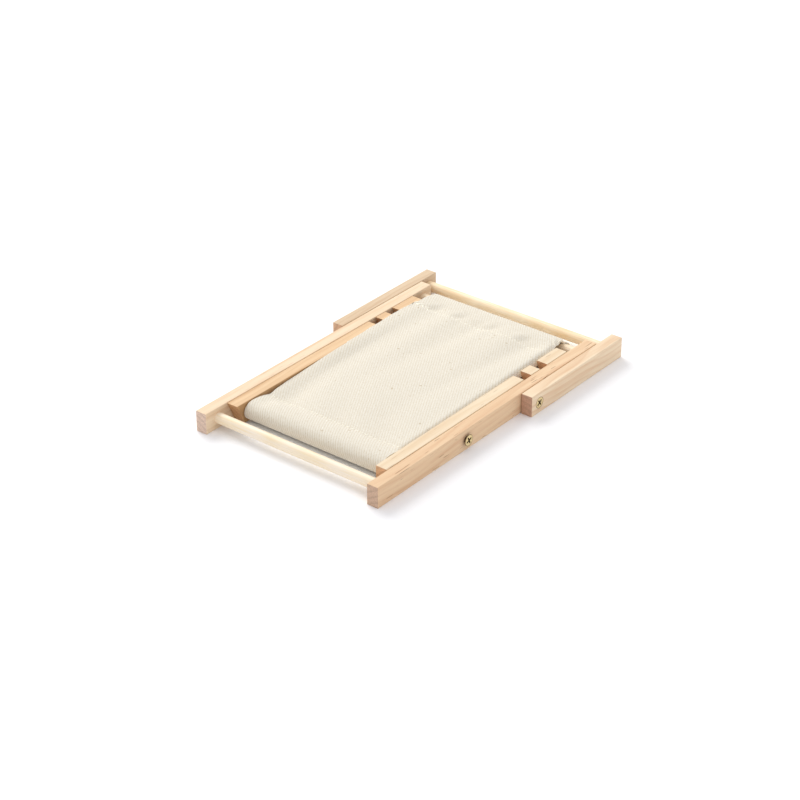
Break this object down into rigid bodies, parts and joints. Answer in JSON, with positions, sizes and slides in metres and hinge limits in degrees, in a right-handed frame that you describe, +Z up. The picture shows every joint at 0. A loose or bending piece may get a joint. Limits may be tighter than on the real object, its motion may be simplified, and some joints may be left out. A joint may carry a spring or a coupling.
{
  "type": "folding miniature deckchair",
  "caption": "Small wooden deckchair folded flat: back, seat and prop frames on screw pivots, prop dowel for the seat notches, and a canvas sling.",
  "frame": {"origin": "under the middle of the folded chair, on the surface it lies on", "axes": "+Y along the rails from the foot end to the far end, +X to the right-hand rails, +Z up through the folded thickness"},
  "size_m": [0.1358, 0.204, 0.012],
  "materials": {
    "pine": "bare sanded pine",
    "birch": "bare smooth birch dowel",
    "brass": "brass-plated, satin",
    "canvas": "unbleached cotton twill"
  },
  "bodies": {
    "back_frame": {"back_rail_left": "pine", "back_rail_right": "pine", "foot_dowel": "birch", "head_dowel": "birch", "prop_pivot_screws": "brass", "canvas_sling": "canvas"},
    "seat_frame": {"seat_rail_left": "pine", "seat_rail_right": "pine", "knee_dowel": "birch", "seat_pivot_screws": "brass"},
    "prop_frame": {"prop_rail_left": "pine", "prop_rail_right": "pine", "prop_dowel": "birch"}
  },
  "joints": [
    {"name": "seat_hinge", "type": "hinge", "parent": "back_frame", "child": "seat_frame", "pos_m": [0, -0.03, 0.006], "axis": [-1, 0, 0], "range_deg": [0, 75], "deforming": ["canvas_sling"]},
    {"name": "prop_hinge", "type": "hinge", "parent": "back_frame", "child": "prop_frame", "pos_m": [0, 0.024, 0.006], "axis": [-1, 0, 0], "range_deg": [0, 119.56]}
  ]
}
